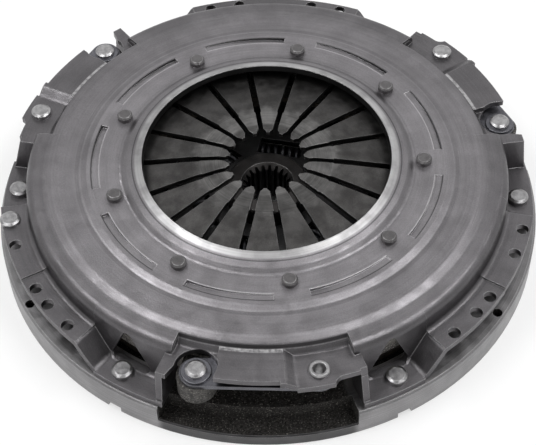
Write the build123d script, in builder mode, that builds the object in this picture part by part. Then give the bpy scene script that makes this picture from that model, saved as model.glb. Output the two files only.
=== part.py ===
"""Diaphragm-spring clutch module: pressed cover riveted to a counter plate, with its driven disc inside.

Millimetres.  +Z is the release side, the origin is the centre of the counter plate's underside.
Angles are measured anticlockwise from +X as seen from the release side.
"""
import os
from math import cos, degrees, radians, sin

from build123d import *

os.makedirs("parts", exist_ok=True)

# ---- driving dimensions ------------------------------------------------------------------------
BOLT_CIRCLE_R = 85.0          # nine spacer bolts
SHEET = 3.5                   # cover sheet
FACE_Z = 50.2                 # flat top of the cover
PLATE_RIM_R = 148.8           # counter plate outside radius
PLATE_RIM_Z = 17.0            # counter plate rim top, where the cover's feet stand
FRICTION_Z = 10.5             # counter plate friction face
FACING_T = 3.2                # one friction facing
CUSHION_T = 0.9               # cushion segments between the facings
FACING_IN_R = 78.5
FACING_OUT_R = 120.0
RUN_GAP = 0.15                # axial gap at each friction face
FINGERS = 18
LIFT = 1.8                    # pressure plate travel

SECTORS = (-90.0, 30.0, 150.0)
GAPS = ((-150.0, 1), (-30.0, -1), (90.0, 0))    # middle, side on which the flange is stepped down
BOLT_ANGLES = [40.0 * k for k in range(9)]
RAMP_ANGLES = [20.0 + 40.0 * k for k in range(9)]

# ---- counter plate -----------------------------------------------------------------------------
RIM_IN_R = 126.0
POCKET_IN_R = 137.5           # as-cast pockets in the rim
POCKET_HALF = 20.0
POCKET_Z = 6.4
DOWEL_CIRCLE_R = 144.7
DOWEL_ANGLE = 58.4
DOWEL_HOLE_R = 2.6
MOUNT_CIRCLE_R = 68.0
MOUNT_HOLE_R = 4.5
MOUNT_FLANGE_T = 4.5
PILOT_R = 58.0
FRICTION_IN_R = 77.0

# ---- cover -------------------------------------------------------------------------------------
OPENING_R = 67.6
LIP_Z = 54.8
LIP_OUT_R = 76.3
CROWN = [(OPENING_R, LIP_Z), (LIP_OUT_R, 52.4), (79.5, FACE_Z), (98.0, FACE_Z), (102.0, 49.1),
         (112.0, 48.7)]
CROWN_BENDS = [3.0, 3.0, 2.0, 2.0]
LEDGE_Z = 45.6
LEDGE_R = 141.2
PANEL_Z = 42.2                # rivet panel and lug panel
PANEL_R = 144.2
LUG_PANEL_R = 143.5
FOOT_Z = PLATE_RIM_Z + SHEET
FOOT_R = 147.0
FLANGE_Z = 35.6
FLANGE_LOW_Z = 34.4
FLANGE_R = 145.8
SHOULDER = [(118.0, 48.4), (130.8, 47.3)]       # dome over the feet and flanges
LEDGE_START = -9.0            # angles from a sector's middle; the lug stands on the negative side
LEDGE_STOP = 5.8
JOGGLE_STOP = 8.0
PANEL_START = -19.8
PANEL_STOP = 22.0
FOOT_END = 35.0
FLANGE_START = 39.8
FLANGE_HALF = 60.0 - FLANGE_START
FLANGE_STEP = 0.3             # the step stands this far from the middle of its flange
FLANGE_HOLES = (-16.0, -8.9, 8.9, 16.0)
STEP_HOLE = 3.8
LUG_NOTCH_R = 11.0
ARCH_ANGLE = 17.5             # round notch in the edge of the rivet panel
ARCH_R = 5.0
SLOPE_BEND = 4.5
WEB_HALF = degrees(SHEET / 2 / 140.0)
FOOT_ANGLE = 30.0
FLANGE_HOLE_R = 3.3
FLANGE_HOLE_CIRCLE_R = 141.4
STRAP_CIRCLE_R = 135.0
STRAP_ANGLE = 13.0
FOOT_RIVET_CIRCLE_R = 138.8
FOOT_HEAD_H = 3.4
FOOT_SHANK_R = 3.3
FOOT_SEAT_Z = FOOT_Z + 0.05   # rivet heads and window sills
RAMP_IN_R = 91.4
RAMP_OUT_R = 95.2
RAMP_HALF = 14.2
RAMP_SHALLOW = 0.5
RAMP_DEEP = 1.8
RAMP_GAP = 0.05

# ---- strap joints ------------------------------------------------------------------------------
STRAP_LEAF = 0.8
STRAP_LEAVES = 3
STRAP_SPLIT = 0.05            # between two leaves
STRAP_W = 17.0
STRAP_TOP = PANEL_Z - SHEET
STRAP_BOTTOM = STRAP_TOP - STRAP_LEAF * STRAP_LEAVES
STRAP_SHANK_R = 4.0
RIVET_HEAD_R = 5.4
LUG_R = 10.0
LUG_BOTTOM = 25.5
LUG_NECK_Z = 33.0             # top of the neck between a lug and its plate
WASHER_R = 7.75
WASHER_T = 1.4
TUBE_BORE_R = 3.1

# ---- spring stack ------------------------------------------------------------------------------
DIAPHRAGM_T = 2.6
DIAPHRAGM_TOP = [(20.5, 49.8), (26.0, 50.5), (40.0, 49.4), (62.0, 46.4), (93.0, 42.0), (112.0, 38.7)]
DIAPHRAGM_BENDS = [6.0, 20.0, 20.0, 20.0]
PIVOT_R = 93.0
PIVOT_Z = 42.0
SEAT_R = 107.5                # pressure plate ridge that carries the diaphragm
SEAT_Z = 36.7
SLOT_STEP_R = 36.0
SLOT_ROOT_R = BOLT_CIRCLE_R
SENSOR_T = 1.2
SENSOR_TOP = [(79.5, 37.5), (91.5, 37.5), (95.0, 38.8), (98.0, 38.3)]
SPACER_R = 4.0
BOLT_SHANK_R = 3.0
BOLT_HEAD_R = 4.2
BOLT_HEAD_H = 3.5

ADJUSTER_R = 101.5            # circle of the three adjuster springs
ADJUSTER_Z = 43.2
ADJUSTER_OUT_R = 2.0
ADJUSTER_LEN = 24.0
TAB_T = 2.0
ADJUSTER_SEAT_ANGLE = degrees((ADJUSTER_LEN + TAB_T) / 2 / ADJUSTER_R) + 0.1
RING_Z = 42.7                 # underside of the adjusting ring
RING_IN_R = 90.0
RING_OUT_R = 96.8

# ---- driven disc -------------------------------------------------------------------------------
REAR_FACING_Z = FRICTION_Z + RUN_GAP
CUSHION_Z = REAR_FACING_Z + FACING_T
FRONT_FACING_Z = CUSHION_Z + CUSHION_T
PLATE_FACE_Z = FRONT_FACING_Z + FACING_T + RUN_GAP
DISC_MID_Z = CUSHION_Z + CUSHION_T / 2
GROOVE = 0.8                  # depth of the facing grooves
RIVET_POCKET = 1.8
FACING_SHANK_R = 2.0
SEGMENT_ANGLES = BOLT_ANGLES
SEGMENT_RIVET_R = 64.5
SEGMENT_SHANK_R = 2.5
SEGMENT_IN_R = 60.5
SIDE_OUT_R = 69.0
FLANGE_T = 4.4                # hub flange
SIDE_GAP = 2.0                # hub flange to each side plate
SIDE_T = 2.0                  # side plates
SIDE_IN_R = 23.0
HUB_R = 22.4
HUB_TOP = 31.5
HUB_BOTTOM = 6.7
SPLINE_TEETH = 21
SPLINE_ROOT_R = 13.6
SPLINE_TIP_R = 11.5
SPRING_R = 36.5               # circle of the damper springs
SPRING_OUT_R = 5.3
SPRING_WIRE = 2.6
SPRING_LEN = 25.0
DAMPER_ANGLES = (20.0, 80.0, 140.0, 200.0, 260.0, 320.0)
STOP_CIRCLE_R = 51.0
STOP_PIN_R = 3.0
STOP_NECK_R = 2.2
STOP_ANGLES = (50.0, 170.0, 290.0)
STOP_SWING = 11.0
HUB_FLANGE_R = 54.5
PLAY = 0.05                   # axial play beside the hub flange
FACING_RIVETS = [(88.0, 40.0 * k - 8.0) for k in range(9)] + [(110.5, 40.0 * k + 8.0) for k in range(9)]


# ---- helpers -----------------------------------------------------------------------------------
def radial_plane(angle):
    """Plane through the Z axis: local x is the radius at this angle, local y is height."""
    a = radians(angle)
    return Plane(origin=(0, 0, 0), x_dir=(cos(a), sin(a), 0), z_dir=(sin(a), -cos(a), 0))


def at(radius, angle, z=0.0):
    """Place on a circle about the Z axis, turned so that local x is radial."""
    a = radians(angle)
    return Location((radius * cos(a), radius * sin(a), z), (0, 0, angle))


def sheet_profile(outline, bends, thickness, angle):
    """Section of a bent sheet whose top follows the outline."""
    with BuildSketch(radial_plane(angle)) as profile:
        with BuildLine():
            FilletPolyline(*outline, radius=bends)
            offset(amount=thickness, side=Side.RIGHT)
        make_face()
    return profile.sketch


def section(points, angle=0.0):
    """Closed section through the axis, from (radius, height) points."""
    with BuildSketch(radial_plane(angle)) as profile:
        with BuildLine():
            Polyline(*points, close=True)
        make_face()
    return profile.sketch


def ring_sector(inner, outer, middle, half, z):
    """Flat piece of a ring between two radii, half degrees either side of its middle."""
    with BuildSketch(Plane.XY.offset(z)) as profile:
        with BuildLine():
            CenterArc((0, 0), outer, middle - half, 2 * half)
            CenterArc((0, 0), inner, middle - half, 2 * half)
            for side in (-half, half):
                a = radians(middle + side)
                Line((inner * cos(a), inner * sin(a)), (outer * cos(a), outer * sin(a)))
        make_face()
    return profile.sketch


def disc(radius, z=0.0, bore=0.0):
    """Flat round or annular sketch."""
    with BuildSketch(Plane.XY.offset(z)) as profile:
        Circle(radius)
        if bore:
            Circle(bore, mode=Mode.SUBTRACT)
    return profile.sketch


def save(name, builder):
    builder.part.label = name
    export_step(builder.part, f"parts/{name}.step")


def ramp_plane(middle, z):
    """Plane that falls from the shallow end of a ramp to its deep end."""
    fall = (RAMP_DEEP - RAMP_SHALLOW) / (2 * PIVOT_R * sin(radians(RAMP_HALF)))
    a = radians(middle)
    tangent = Vector(-sin(a), cos(a), fall)
    radial = Vector(cos(a), sin(a), 0)
    centre = Vector(PIVOT_R * cos(a), PIVOT_R * sin(a), z - (RAMP_DEEP + RAMP_SHALLOW) / 2)
    return Plane(origin=centre, x_dir=radial, z_dir=radial.cross(tangent))


# ---- cover -------------------------------------------------------------------------------------
def cover_zone(tail, bends, start, sweep):
    """One angular zone of the cover: the common crown and the zone's own skirt."""
    profile = sheet_profile(CROWN + tail, CROWN_BENDS + bends, SHEET, start)
    revolve(profile, axis=Axis.Z, revolution_arc=sweep)


def web(points, angle):
    """Radial wall that joins two zones of different height."""
    extrude(section(points, angle), amount=SHEET / 2, both=True)


def cover_sector(axis):
    """Ledge, panels, feet and webs of one third of the cover."""
    ledge = [(120.8, 48.3), (122.4, LEDGE_Z), (LEDGE_R, LEDGE_Z)]
    fold = [(120.8, 48.3), (124.2, PANEL_Z)]
    foot = SHOULDER + [(132.6, FOOT_Z), (FOOT_R, FOOT_Z)]
    wall = SHOULDER + [(132.6, FOOT_Z)]
    wall_foot = [(146.4, PLATE_RIM_Z), (131.5, PLATE_RIM_Z), (130.0, FOOT_Z)]
    cover_zone(ledge, [2.0, 0.8, 0.8], axis + LEDGE_START, LEDGE_STOP - LEDGE_START)
    cover_zone(fold, [2.0, 1.5], axis + LEDGE_STOP, JOGGLE_STOP - LEDGE_STOP)
    cover_zone(fold + [(PANEL_R, PANEL_Z)], [2.0, 1.5, 1.5], axis + JOGGLE_STOP,
               PANEL_STOP - WEB_HALF - JOGGLE_STOP)
    cover_zone(fold + [(LUG_PANEL_R, PANEL_Z)], [2.0, 1.5, 1.5], axis + PANEL_START + WEB_HALF,
               LEDGE_START - PANEL_START - WEB_HALF)
    for side, inner, corner in ((-1, -PANEL_START, LUG_PANEL_R), (1, PANEL_STOP, 139.5)):
        start = inner - WEB_HALF
        cover_zone(foot, [2.0, 2.0, 5.0, 2.5], axis + min(side * start, side * FOOT_END), FOOT_END - start)
        cover_zone(wall, [2.0, 2.0, 5.0], axis + min(side * FOOT_END, side * FLANGE_START),
                   FLANGE_START - FOOT_END)
        web([(116.5, 45.5), (119.0, 47.0), (127.5, 45.5), (130.0, PANEL_Z), (corner, PANEL_Z)] + wall_foot,
            axis + side * inner)
    cover_slope((axis + JOGGLE_STOP, PANEL_Z), (axis + LEDGE_STOP, LEDGE_Z), 122.6, 142.7)


def cover_slope(low, high, inner_r, outer_r):
    """Slanted sheet between two flats that lie side by side; low and high are (angle, height)."""
    reach = 0.5 * (inner_r + outer_r)
    turn = high[0] - low[0]
    half = reach * sin(radians(abs(turn) / 2))
    climb = 1 if turn > 0 else -1
    outline = [(-half - 3.0, low[1]), (-half, low[1]), (half, high[1]), (half + 3.0, high[1])]
    with BuildPart(mode=Mode.PRIVATE) as slope:
        with BuildSketch(Plane(at(inner_r, low[0] + turn / 2)) * Plane.YZ):
            with BuildLine():
                FilletPolyline(*[(climb * x, z) for x, z in outline], radius=SLOPE_BEND)
                offset(amount=SHEET, side=Side.RIGHT if climb > 0 else Side.LEFT)
            make_face()
        extrude(amount=30.0)
        extrude(disc(outer_r), amount=FACE_Z, mode=Mode.INTERSECT)
    add(slope.part)


def cover_flange(axis, low_side):
    """Raised flange between two feet, with its holes; low_side is 0 where it is not stepped."""
    high = SHOULDER + [(131.0, FLANGE_Z), (FLANGE_R, FLANGE_Z)]
    low = SHOULDER + [(131.2, FLANGE_LOW_Z), (FLANGE_R, FLANGE_LOW_Z)]
    bends = [2.0, 2.0, 5.0, 2.5]
    holes = list(FLANGE_HOLES)
    if low_side:
        wide, narrow = FLANGE_HALF + FLANGE_STEP, FLANGE_HALF - FLANGE_STEP
        cover_zone(high, bends, axis - (FLANGE_HALF if low_side > 0 else FLANGE_STEP), wide)
        cover_zone(low, bends, axis + (FLANGE_STEP if low_side > 0 else -FLANGE_HALF), narrow)
        holes.append(low_side * STEP_HOLE)
    else:
        cover_zone(high, bends, axis - FLANGE_HALF, 2 * FLANGE_HALF)
    for side in (-1, 1):
        height = FLANGE_LOW_Z if side == low_side else FLANGE_Z
        cover_slope((axis + side * (60.0 - FOOT_END), FOOT_Z), (axis + side * FLANGE_HALF, height),
                    131.5, FLANGE_R)
    with Locations(*[at(FLANGE_HOLE_CIRCLE_R, axis + h, FLANGE_LOW_Z) for h in holes]):
        Cylinder(FLANGE_HOLE_R, 4 * SHEET, mode=Mode.SUBTRACT)


def cover_ramp(middle):
    """Pressed ramp: the strip sinks from its shallow end to its deep end."""
    strip = ring_sector(RAMP_IN_R, RAMP_OUT_R, middle, RAMP_HALF, FACE_Z)
    with BuildPart(mode=Mode.PRIVATE) as hollow:
        extrude(strip, amount=-2 * SHEET)
        split(bisect_by=ramp_plane(middle, FACE_Z), keep=Keep.TOP)
    with BuildPart(mode=Mode.PRIVATE) as drop:
        extrude(strip, amount=-2 * SHEET)
        split(bisect_by=ramp_plane(middle, FACE_Z - SHEET), keep=Keep.TOP)
        split(bisect_by=Plane.XY.offset(FACE_Z - SHEET), keep=Keep.BOTTOM)
    add(drop.part)
    add(hollow.part, mode=Mode.SUBTRACT)


def cover_window(angle, side):
    """Three-cornered window in the wall over a foot; side tells which way its long slope runs."""
    with BuildSketch(Plane(at(112.0, angle)) * Plane.YZ) as window:
        with BuildLine():
            FilletPolyline((side * -14.5, FOOT_SEAT_Z), (side * 1.0, 47.0), (side * 12.0, FOOT_SEAT_Z),
                           radius=2.5, close=True)
        make_face()
    extrude(window.sketch, amount=24.0, mode=Mode.SUBTRACT)


def cover_notch(angle):
    """Arch in the edge of the lug panel, flared on the side of the foot."""
    with BuildSketch(Plane(at(STRAP_CIRCLE_R, angle, PANEL_Z - 2 * SHEET))) as notch:
        Circle(LUG_NOTCH_R)
        with BuildLine():
            Polyline((0, -LUG_NOTCH_R + 0.5), (0, LUG_NOTCH_R - 0.5), (20.0, LUG_NOTCH_R), (20.0, -18.0),
                     (10.0, -14.5), close=True)
        make_face()
    extrude(notch.sketch, amount=4 * SHEET, mode=Mode.SUBTRACT)


def cover_holes(axis):
    """Rivet holes, lug notch, arch notch and foot windows of one third of the cover."""
    through = 3 * SHEET
    with Locations(at(STRAP_CIRCLE_R, axis + STRAP_ANGLE, PANEL_Z)):
        Cylinder(STRAP_SHANK_R, through, mode=Mode.SUBTRACT)
    cover_notch(axis - STRAP_ANGLE)
    with Locations(at(PANEL_R + 1.5, axis + ARCH_ANGLE, PANEL_Z)):
        Cylinder(ARCH_R, through, mode=Mode.SUBTRACT)
    half = (PANEL_STOP - ARCH_ANGLE) / 2
    extrude(ring_sector(PANEL_R + 1.5 - ARCH_R, FOOT_R + 2, axis + ARCH_ANGLE + half, half + 0.5, LEDGE_Z),
            amount=-1.5 * SHEET - LEDGE_Z + PANEL_Z, mode=Mode.SUBTRACT)
    for side in (-1, 1):
        with Locations(at(FOOT_RIVET_CIRCLE_R, axis + side * FOOT_ANGLE, FOOT_Z)):
            Cylinder(FOOT_SHANK_R, through, mode=Mode.SUBTRACT)
        cover_window(axis + side * FOOT_ANGLE, side)


def make_cover():
    with BuildPart() as cover:
        for axis in SECTORS:
            cover_sector(axis)
        for axis, low_side in GAPS:
            cover_flange(axis, low_side)
        for middle in RAMP_ANGLES:
            cover_ramp(middle)
        with Locations(*[at(BOLT_CIRCLE_R, a, FACE_Z) for a in BOLT_ANGLES]):
            Cylinder(BOLT_SHANK_R, 4 * SHEET, mode=Mode.SUBTRACT)
        for axis in SECTORS:
            with Locations(at(ADJUSTER_R, axis + ADJUSTER_SEAT_ANGLE, ADJUSTER_Z + 1.2)):
                Box(4.0, TAB_T, 5.0)
            cover_holes(axis)
    return cover


# ---- fixed pieces ------------------------------------------------------------------------------
def make_counter_plate():
    edge = 1.1
    rim = [(PILOT_R, 0), (PLATE_RIM_R, 0), (PLATE_RIM_R, PLATE_RIM_Z - edge),
           (PLATE_RIM_R - edge, PLATE_RIM_Z), (RIM_IN_R, PLATE_RIM_Z), (RIM_IN_R, FRICTION_Z),
           (FRICTION_IN_R, FRICTION_Z), (FRICTION_IN_R, MOUNT_FLANGE_T), (PILOT_R, MOUNT_FLANGE_T)]
    with BuildPart() as plate:
        revolve(section(rim), axis=Axis.Z)
        for axis in SECTORS:
            pocket = ring_sector(POCKET_IN_R, PLATE_RIM_R + 2, axis, POCKET_HALF, POCKET_Z)
            extrude(pocket, amount=PLATE_RIM_Z, mode=Mode.SUBTRACT)
            with Locations(*[at(PLATE_RIM_R - 4, axis + s * 30) for s in (-1, 1)]):
                Box(12.0, 8.0, 7.0, mode=Mode.SUBTRACT)
            with Locations(*[at(FOOT_RIVET_CIRCLE_R, axis + s * FOOT_ANGLE) for s in (-1, 1)]):
                CounterBoreHole(FOOT_SHANK_R, 6.0, 4.0, 2 * PLATE_RIM_Z)
        with Locations(*[at(DOWEL_CIRCLE_R, -90.0 + s * DOWEL_ANGLE, PLATE_RIM_Z) for s in (-1, 1)]):
            Cylinder(DOWEL_HOLE_R, 16.0, mode=Mode.SUBTRACT)
        with Locations(*[at(MOUNT_CIRCLE_R, 60.0 * k) for k in range(6)]):
            Cylinder(MOUNT_HOLE_R, 20.0, mode=Mode.SUBTRACT)
    return plate


def round_pins(places, outline):
    """Turned pins about their own axis, from a closed (radius, height) outline."""
    with BuildPart() as one:
        revolve(section(outline), axis=Axis.Z)
    with BuildPart() as pins:
        with Locations(*places):
            add(one.part)
    return pins


def rivet_outline(head_r, head, shank_r, tail_r, tail):
    """Outline of a solid rivet; head and tail are (inner face, outer face) heights."""
    crown = 0.25 * head_r
    return [(0, tail[1]), (tail_r - 0.5, tail[1]), (tail_r, tail[1] + 0.5), (tail_r, tail[0]),
            (shank_r, tail[0]), (shank_r, head[0]), (head_r, head[0]), (head_r, head[1] - 0.8),
            (head_r - crown, head[1]), (0, head[1])]


def make_foot_rivets():
    places = [at(FOOT_RIVET_CIRCLE_R, axis + s * FOOT_ANGLE) for axis in SECTORS for s in (-1, 1)]
    head = (FOOT_SEAT_Z, FOOT_Z + FOOT_HEAD_H)
    return round_pins(places, rivet_outline(5.5, head, FOOT_SHANK_R, 5.2, (4.0, 1.2)))


def make_strap_cover_rivets():
    places = [at(STRAP_CIRCLE_R, axis + STRAP_ANGLE) for axis in SECTORS[1:]]
    outline = rivet_outline(RIVET_HEAD_R, (PANEL_Z, PANEL_Z + 3.0), STRAP_SHANK_R, RIVET_HEAD_R,
                            (STRAP_BOTTOM, STRAP_BOTTOM - 2.4))
    return round_pins(places, outline)


def make_tubular_rivet():
    low, high = STRAP_BOTTOM - 2.2, PANEL_Z + 2.1
    outline = [(TUBE_BORE_R, low), (RIVET_HEAD_R, low), (RIVET_HEAD_R, STRAP_BOTTOM),
               (STRAP_SHANK_R, STRAP_BOTTOM), (STRAP_SHANK_R, PANEL_Z), (RIVET_HEAD_R, PANEL_Z),
               (RIVET_HEAD_R, high - 0.7), (RIVET_HEAD_R - 0.7, high), (TUBE_BORE_R + 0.5, high),
               (TUBE_BORE_R, high - 0.7)]
    return round_pins([at(STRAP_CIRCLE_R, SECTORS[0] + STRAP_ANGLE)], outline)


def make_balance_rivet():
    under = FLANGE_Z - SHEET
    outline = rivet_outline(5.4, (FLANGE_Z, FLANGE_Z + 2.4), FLANGE_HOLE_R, 5.2, (under, under - 2.0))
    return round_pins([at(FLANGE_HOLE_CIRCLE_R, GAPS[0][0] + FLANGE_HOLES[0])], outline)


def make_spacer_bolts():
    head_top = FACE_Z + BOLT_HEAD_H
    seat = SENSOR_TOP[0][1]
    tail = seat - SENSOR_T
    under = FACE_Z - SHEET
    edge = 0.9
    outline = [(0, tail - 1.8), (5.0, tail - 1.8), (5.0, tail), (BOLT_SHANK_R, tail), (BOLT_SHANK_R, seat),
               (SPACER_R, seat), (SPACER_R, under), (BOLT_SHANK_R, under), (BOLT_SHANK_R, FACE_Z),
               (BOLT_HEAD_R, FACE_Z), (BOLT_HEAD_R, head_top - edge), (BOLT_HEAD_R - edge, head_top),
               (0, head_top)]
    return round_pins([at(BOLT_CIRCLE_R, a) for a in BOLT_ANGLES], outline)


def make_strap(axis):
    """Pack of spring leaves from a lug of the pressure plate to the cover's rivet panel."""
    reach = STRAP_CIRCLE_R * cos(radians(STRAP_ANGLE))
    span = 2 * STRAP_CIRCLE_R * sin(radians(STRAP_ANGLE))
    with BuildPart() as strap:
        for leaf in range(STRAP_LEAVES):
            with BuildSketch(Plane(at(reach, axis, STRAP_BOTTOM + leaf * STRAP_LEAF))):
                SlotCenterToCenter(span, STRAP_W, rotation=90)
                with Locations((0, span / 2), (0, -span / 2)):
                    Circle(STRAP_SHANK_R, mode=Mode.SUBTRACT)
            extrude(amount=STRAP_LEAF - STRAP_SPLIT)
    return strap


def make_diaphragm():
    with BuildPart() as spring:
        revolve(sheet_profile(DIAPHRAGM_TOP, DIAPHRAGM_BENDS, DIAPHRAGM_T, 0), axis=Axis.Z)
        with BuildSketch() as slot:
            with BuildLine():
                Polyline((14, 2.9), (21.0, 2.6), (23.0, 1.4), (SLOT_STEP_R, 1.4), (SLOT_STEP_R + 0.8, 1.9),
                         (SLOT_ROOT_R, 1.9))
                Line((14, 2.9), (14, 0))
                Line((14, 0), (SLOT_ROOT_R, 0))
                Line((SLOT_ROOT_R, 0), (SLOT_ROOT_R, 1.9))
            make_face()
            mirror(about=Plane.XZ)
        with BuildSketch(Plane.XY.offset(20)):
            with PolarLocations(0, FINGERS):
                add(slot.sketch)
            with PolarLocations(SLOT_ROOT_R, FINGERS // 2):
                Circle(6.5)
            with PolarLocations(SLOT_ROOT_R, FINGERS // 2, start_angle=20):
                Circle(4.5)
        extrude(amount=40, mode=Mode.SUBTRACT)
    return spring


def make_sensor_spring():
    with BuildPart() as spring:
        revolve(sheet_profile(SENSOR_TOP, [4.0, 2.0], SENSOR_T, 0), axis=Axis.Z)
        with Locations(*[at(BOLT_CIRCLE_R, a, SENSOR_TOP[0][1]) for a in BOLT_ANGLES]):
            Cylinder(BOLT_SHANK_R, 6, mode=Mode.SUBTRACT)
        with Locations(*[at(78.5, a, SENSOR_TOP[0][1]) for a in RAMP_ANGLES]):
            Cylinder(5.0, 6, mode=Mode.SUBTRACT)
    return spring


def make_adjuster_springs():
    with BuildPart() as springs:
        with Locations(*[at(ADJUSTER_R, axis, ADJUSTER_Z) for axis in SECTORS]):
            Cylinder(ADJUSTER_OUT_R, ADJUSTER_LEN, rotation=(90, 0, 0))
            Cylinder(ADJUSTER_OUT_R - 0.6, ADJUSTER_LEN, rotation=(90, 0, 0), mode=Mode.SUBTRACT)
    return springs


# ---- moving pieces -----------------------------------------------------------------------------
def make_adjusting_ring():
    top = FACE_Z - SHEET - RAMP_DEEP - 3 * RAMP_GAP
    with BuildPart() as ring:
        revolve(section([(RING_IN_R, RING_Z), (PIVOT_R - 1.4, RING_Z), (PIVOT_R - 0.6, PIVOT_Z + 0.1),
                         (PIVOT_R + 0.6, PIVOT_Z + 0.1), (PIVOT_R + 1.4, RING_Z), (RING_OUT_R, RING_Z),
                         (RING_OUT_R, top), (RING_IN_R, top)]), axis=Axis.Z)
        for middle in RAMP_ANGLES:
            block = ring_sector(RAMP_IN_R - 0.4, RAMP_OUT_R + 0.4, middle, RAMP_HALF - 0.7, top)
            with BuildPart(mode=Mode.PRIVATE) as ramp:
                extrude(block, amount=SHEET)
                split(bisect_by=ramp_plane(middle, FACE_Z - SHEET - RAMP_GAP), keep=Keep.BOTTOM)
            add(ramp.part)
        tab = ADJUSTER_R + ADJUSTER_OUT_R - RING_OUT_R + 0.5
        with Locations(*[at(RING_OUT_R - 0.5 + tab / 2, axis - ADJUSTER_SEAT_ANGLE, (RING_Z + top) / 2)
                         for axis in SECTORS]):
            Box(tab, TAB_T, top - RING_Z)
    return ring


def make_pressure_plate():
    ridge = SEAT_Z - 0.05
    body = [(79.0, PLATE_FACE_Z), (121.5, PLATE_FACE_Z), (121.5, 27.0), (120.5, 28.0), (114.0, 29.5),
            (SEAT_R + 3.0, SEAT_Z - 0.9), (SEAT_R + 0.8, ridge), (SEAT_R - 0.8, ridge),
            (SEAT_R - 3.0, SEAT_Z - 0.9), (101.0, 27.0), (80.0, 27.0), (79.0, 26.0)]
    with BuildPart() as plate:
        revolve(section(body), axis=Axis.Z)
        for axis in SECTORS:
            lug = axis - STRAP_ANGLE
            with Locations(at(122.0, lug, (LUG_BOTTOM + LUG_NECK_Z) / 2)):
                Box(25.0, 20.0, LUG_NECK_Z - LUG_BOTTOM)
            with Locations(at(STRAP_CIRCLE_R, lug, (LUG_BOTTOM + STRAP_BOTTOM) / 2)):
                Cylinder(LUG_R, STRAP_BOTTOM - LUG_BOTTOM)
                Cylinder(STRAP_SHANK_R, 20, mode=Mode.SUBTRACT)
        with Locations(*[at(SEAT_R, a, SEAT_Z) for a in RAMP_ANGLES]):
            Box(16.0, 7.0, 9.0, mode=Mode.SUBTRACT)
    return plate


def make_lug_rivets():
    places = [at(STRAP_CIRCLE_R, axis - STRAP_ANGLE) for axis in SECTORS]
    seat = STRAP_TOP + WASHER_T
    outline = rivet_outline(RIVET_HEAD_R, (seat, seat + 2.1), STRAP_SHANK_R, RIVET_HEAD_R,
                            (LUG_BOTTOM, LUG_BOTTOM - 2.3))
    return round_pins(places, outline)


def make_lug_washers():
    places = [at(STRAP_CIRCLE_R, axis - STRAP_ANGLE) for axis in SECTORS]
    top = STRAP_TOP + WASHER_T
    outline = [(STRAP_SHANK_R, STRAP_TOP), (WASHER_R, STRAP_TOP), (WASHER_R, top - 0.3),
               (WASHER_R - 0.3, top), (STRAP_SHANK_R, top)]
    return round_pins(places, outline)


def make_facing(bottom, outer_face):
    """Friction ring; the grooves and rivet pockets are on its outer face."""
    middle = (FACING_IN_R + FACING_OUT_R) / 2
    with BuildPart() as facing:
        extrude(disc(FACING_OUT_R, bottom, FACING_IN_R), amount=FACING_T)
        with Locations(*[at(middle, 20.0 * k, outer_face) for k in range(18)]):
            Box(FACING_OUT_R - FACING_IN_R + 4, 2.0, 2 * GROOVE, mode=Mode.SUBTRACT)
        with Locations(*[at(r, a, outer_face) for r, a in FACING_RIVETS]):
            Cylinder(4.4, 2 * RIVET_POCKET, mode=Mode.SUBTRACT)
            Cylinder(FACING_SHANK_R, 3 * FACING_T, mode=Mode.SUBTRACT)
    return facing


def make_facing_rivets():
    low = REAR_FACING_Z + RIVET_POCKET
    high = FRONT_FACING_Z + FACING_T - RIVET_POCKET
    outline = [(0, low - 0.9), (3.6, low - 0.9), (3.6, low), (FACING_SHANK_R, low),
               (FACING_SHANK_R, high), (3.8, high), (3.8, high + 0.9), (0, high + 0.9)]
    return round_pins([at(r, a) for r, a in FACING_RIVETS], outline)


def make_cushion_segments():
    with BuildPart() as segments:
        for angle in SEGMENT_ANGLES:
            extrude(ring_sector(SEGMENT_IN_R, 119.0, angle, 19.2, CUSHION_Z), amount=CUSHION_T)
        shoulders = [at(74.0, a + s * 17.0, CUSHION_Z) for a in SEGMENT_ANGLES for s in (-1, 1)]
        with Locations(*shoulders):
            Box(34.0, 15.0, 4.0, mode=Mode.SUBTRACT)
        with Locations(*[at(112.0, a, CUSHION_Z) for a in SEGMENT_ANGLES]):
            Box(30.0, 2.0, 4.0, mode=Mode.SUBTRACT)
        with Locations(*[at(r, a, CUSHION_Z) for r, a in FACING_RIVETS]):
            Cylinder(FACING_SHANK_R, 4.0, mode=Mode.SUBTRACT)
        with Locations(*[at(SEGMENT_RIVET_R, a, CUSHION_Z) for a in SEGMENT_ANGLES]):
            Cylinder(SEGMENT_SHANK_R, 4.0, mode=Mode.SUBTRACT)
    return segments


def make_segment_rivets():
    top = CUSHION_Z + CUSHION_T
    bottom = CUSHION_Z - SIDE_T
    head = 1.2
    outline = [(0, bottom - head), (4.0, bottom - head), (4.0, bottom), (SEGMENT_SHANK_R, bottom),
               (SEGMENT_SHANK_R, top), (4.0, top), (4.0, top + head), (0, top + head)]
    return round_pins([at(SEGMENT_RIVET_R, a) for a in SEGMENT_ANGLES], outline)


def cut_spring_windows():
    """Windows for the damper springs, through everything in the part being built."""
    with Locations(*[at(SPRING_R, a, DISC_MID_Z) for a in DAMPER_ANGLES]):
        Box(2 * SPRING_OUT_R + 0.6, SPRING_LEN, 20.0, mode=Mode.SUBTRACT)


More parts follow.
